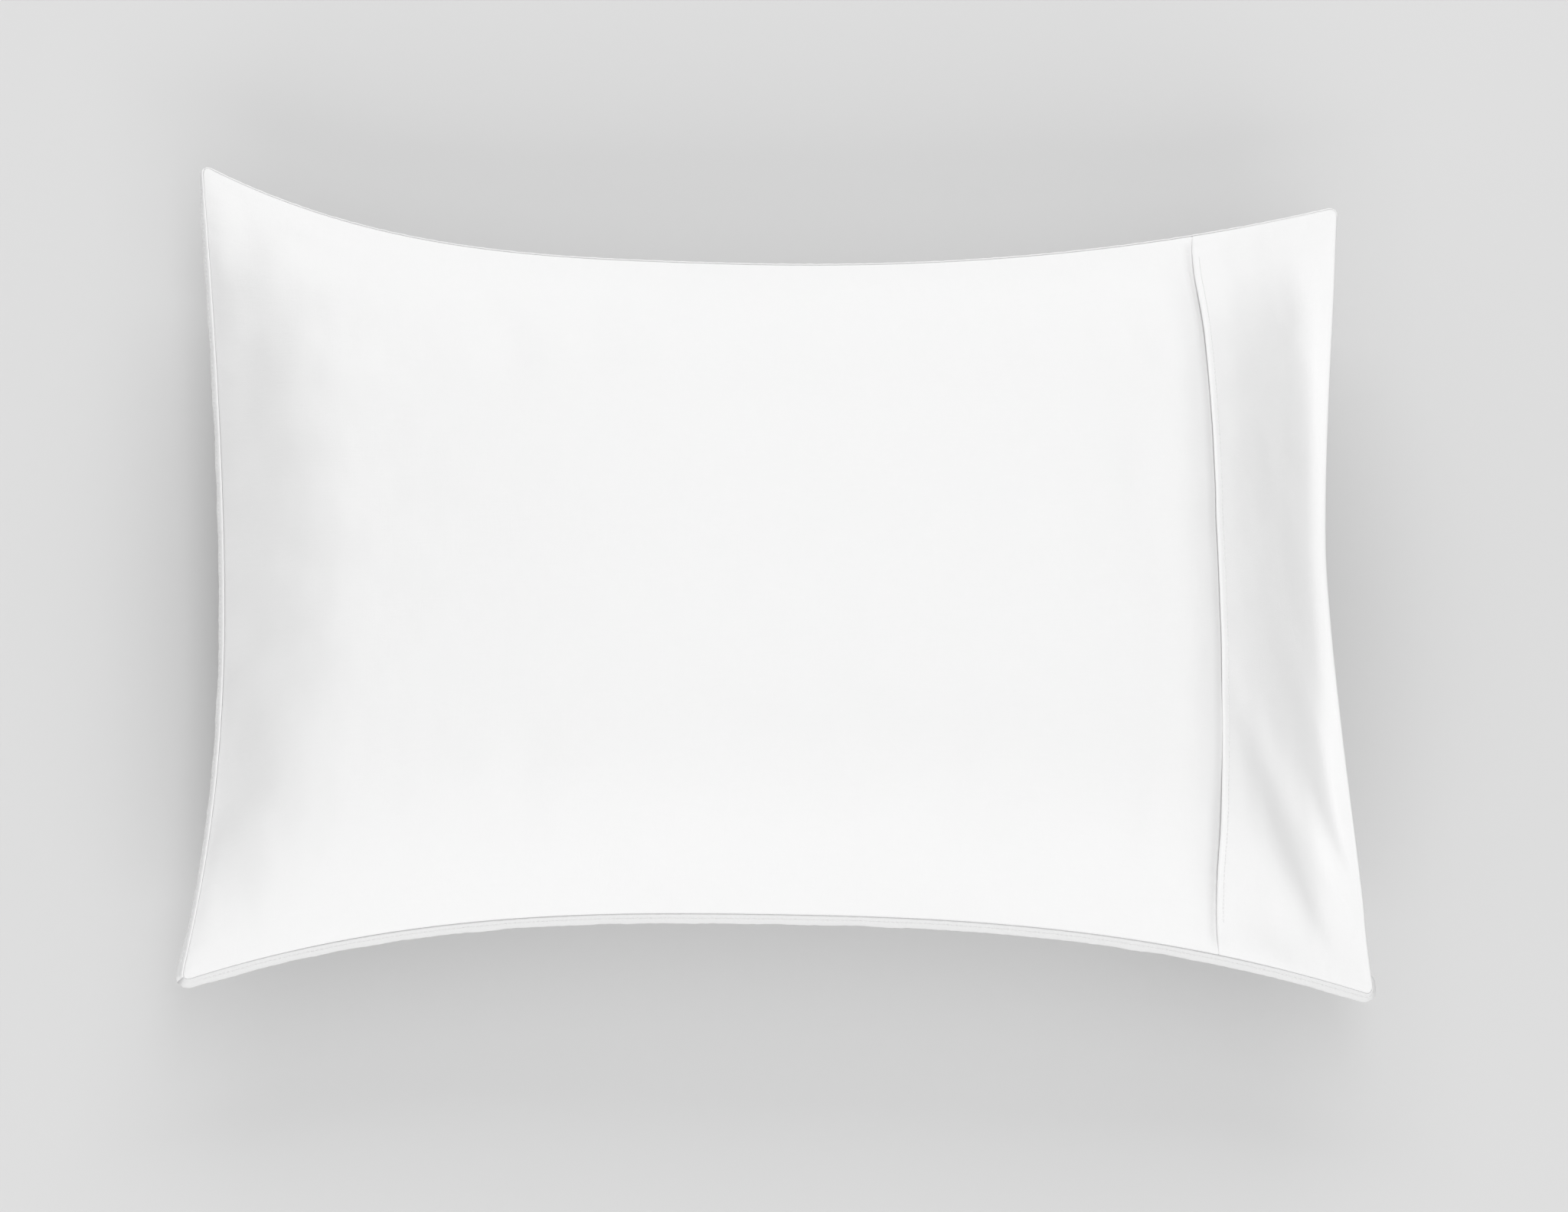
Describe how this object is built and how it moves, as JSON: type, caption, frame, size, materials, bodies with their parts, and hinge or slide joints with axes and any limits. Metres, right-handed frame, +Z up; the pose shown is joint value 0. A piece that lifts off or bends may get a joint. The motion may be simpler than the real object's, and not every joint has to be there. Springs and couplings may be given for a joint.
{
  "type": "bed pillow",
  "caption": "A plain white bed pillow in a white cotton pillowcase, with pointed corners, a narrow seam band and a deep hemmed cuff at its open end.",
  "frame": {"origin": "on the floor, under the middle of the rectangle of the four corners", "axes": "+X runs from the closed end to the open mouth, +Y to the far long side, +Z up from the floor"},
  "size_m": [0.7434, 0.5323, 0.183],
  "materials": {
    "case_cloth": "smooth white cotton, softly lustrous",
    "case_thread": "white sewing thread",
    "label_tape": "blank white satin tape",
    "ticking_cloth": "close white twill ticking",
    "ticking_thread": "white sewing thread",
    "piping_cord": "white cotton piping",
    "fibre": "matt white polyester fibre"
  },
  "bodies": {
    "case": {"case_front_panel": "case_cloth", "case_back_panel": "case_cloth", "front_cuff": "case_cloth", "back_cuff": "case_cloth", "front_cuff_stitching": "case_thread", "back_cuff_stitching": "case_thread", "near_side_seam": "case_cloth", "far_side_seam": "case_cloth", "closed_end_seam": "case_cloth", "case_seam_stitching": "case_thread", "case_care_label": "label_tape"},
    "insert": {"ticking_front_panel": "ticking_cloth", "ticking_back_panel": "ticking_cloth", "ticking_piping": "piping_cord", "ticking_closing_stitch": "ticking_thread", "ticking_care_label": "label_tape", "fibre_fill": "fibre"}
  },
  "joints": [
    {"name": "insert_slide", "type": "slide", "parent": "case", "child": "insert", "axis": [1, 0, 0], "range_m": [0, 0.8], "deforming": ["case_front_panel", "case_back_panel", "front_cuff", "back_cuff", "front_cuff_stitching", "back_cuff_stitching", "near_side_seam", "far_side_seam", "closed_end_seam", "case_seam_stitching", "case_care_label"]}
  ]
}
